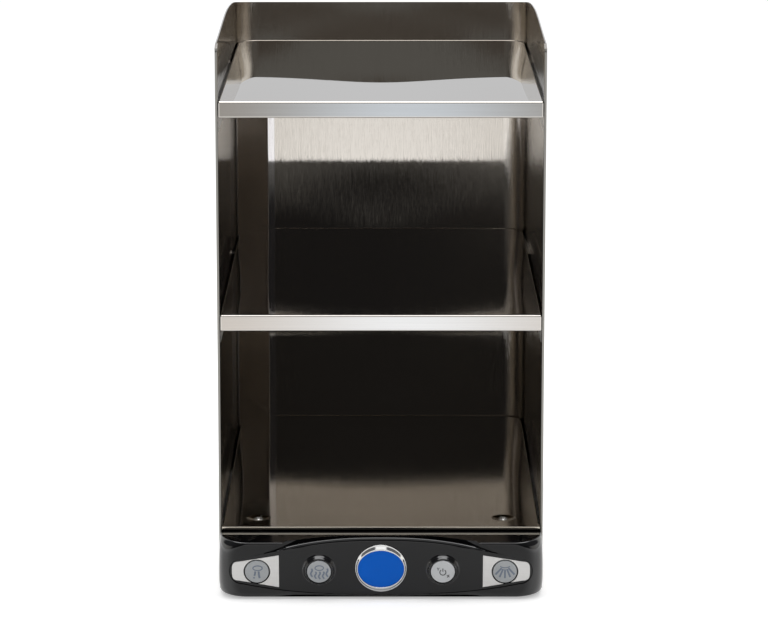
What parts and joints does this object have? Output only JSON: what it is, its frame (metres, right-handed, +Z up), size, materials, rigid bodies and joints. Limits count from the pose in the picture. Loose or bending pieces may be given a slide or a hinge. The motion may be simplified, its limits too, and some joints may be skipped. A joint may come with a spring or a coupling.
{
  "type": "cup warmer",
  "caption": "Countertop cup warmer cabinet: open front, heated top tray with a raised guard, heated shelf and deck, black base front with push buttons.",
  "frame": {"origin": "bottom centre of the whole object's bounding box, on the surface that the feet stand on", "axes": "+X to the right of a person who stands in front of it, +Y to the back, +Z up; the open front and the buttons face -Y"},
  "size_m": [0.3, 0.4828, 0.5163],
  "materials": {
    "cabinet_steel": "brushed",
    "inner_steel": "plain zinc coated",
    "screw_steel": "polished",
    "heater_mat": "satin",
    "insulation_felt": "felted",
    "thermostat_shell": "matte",
    "black_moulding": "high gloss",
    "silver_plate": "satin",
    "button_cap": "satin",
    "badge_ring": "polished",
    "badge_disc": "high gloss",
    "switch_housing": "matte",
    "circuit_board": "lacquered",
    "connector_housing": "matte",
    "power_case": "fine grain",
    "inlet_plastic": "fine grain",
    "cable_sheath": "matte",
    "foot_rubber": "matte"
  },
  "bodies": {
    "cabinet": {"cabinet_wrap": "cabinet_steel", "top_tray": "cabinet_steel", "middle_shelf": "cabinet_steel", "lower_deck": "cabinet_steel", "upper_cable_cover": "cabinet_steel", "lower_cable_cover": "cabinet_steel", "tray_cover": "inner_steel", "shelf_cover": "inner_steel", "tray_rail_left": "inner_steel", "tray_rail_right": "inner_steel", "shelf_rail_left": "inner_steel", "shelf_rail_right": "inner_steel", "base_pan": "inner_steel", "deck_post_left": "inner_steel", "deck_post_right": "inner_steel", "deck_screw_left": "screw_steel", "deck_screw_right": "screw_steel", "moulding_screw_1": "inner_steel", "moulding_screw_2": "inner_steel", "moulding_screw_3": "inner_steel", "moulding_screw_4": "inner_steel", "tray_heater": "heater_mat", "shelf_heater": "heater_mat", "deck_heater": "heater_mat", "tray_insulation": "insulation_felt", "shelf_insulation": "insulation_felt", "tray_thermostat": "thermostat_shell", "shelf_thermostat": "thermostat_shell", "deck_thermostat": "thermostat_shell", "front_moulding": "black_moulding", "control_panel": "black_moulding", "button_collar_left": "black_moulding", "button_collar_right": "black_moulding", "end_plate_left": "silver_plate", "end_plate_right": "silver_plate", "badge_ring": "badge_ring", "badge_disc": "badge_disc", "switch_1": "switch_housing", "switch_2": "switch_housing", "switch_3": "switch_housing", "switch_4": "switch_housing", "control_board": "circuit_board", "board_connector": "connector_housing", "tray_connector": "connector_housing", "terminal_block": "connector_housing", "power_unit": "power_case", "mains_inlet": "inlet_plastic", "wiring_loom": "cable_sheath", "control_lead": "cable_sheath", "supply_lead": "cable_sheath", "foot_front_left": "foot_rubber", "foot_front_right": "foot_rubber", "foot_rear_left": "foot_rubber", "foot_rear_right": "foot_rubber"},
    "button_1": {"button_cap_1": "button_cap"},
    "button_2": {"button_cap_2": "button_cap"},
    "button_3": {"button_cap_3": "button_cap"},
    "button_4": {"button_cap_4": "button_cap"}
  },
  "joints": [
    {"name": "press_1", "type": "slide", "parent": "cabinet", "child": "button_1", "axis": [0, 0.9877, 0.1564], "range_m": [0, 0.0015], "stiffness_N_per_m": 1500},
    {"name": "press_2", "type": "slide", "parent": "cabinet", "child": "button_2", "axis": [0, 0.9877, 0.1564], "range_m": [0, 0.0015], "stiffness_N_per_m": 1500},
    {"name": "press_3", "type": "slide", "parent": "cabinet", "child": "button_3", "axis": [0, 0.9877, 0.1564], "range_m": [0, 0.0015], "stiffness_N_per_m": 1500},
    {"name": "press_4", "type": "slide", "parent": "cabinet", "child": "button_4", "axis": [0, 0.9877, 0.1564], "range_m": [0, 0.0015], "stiffness_N_per_m": 1500}
  ]
}
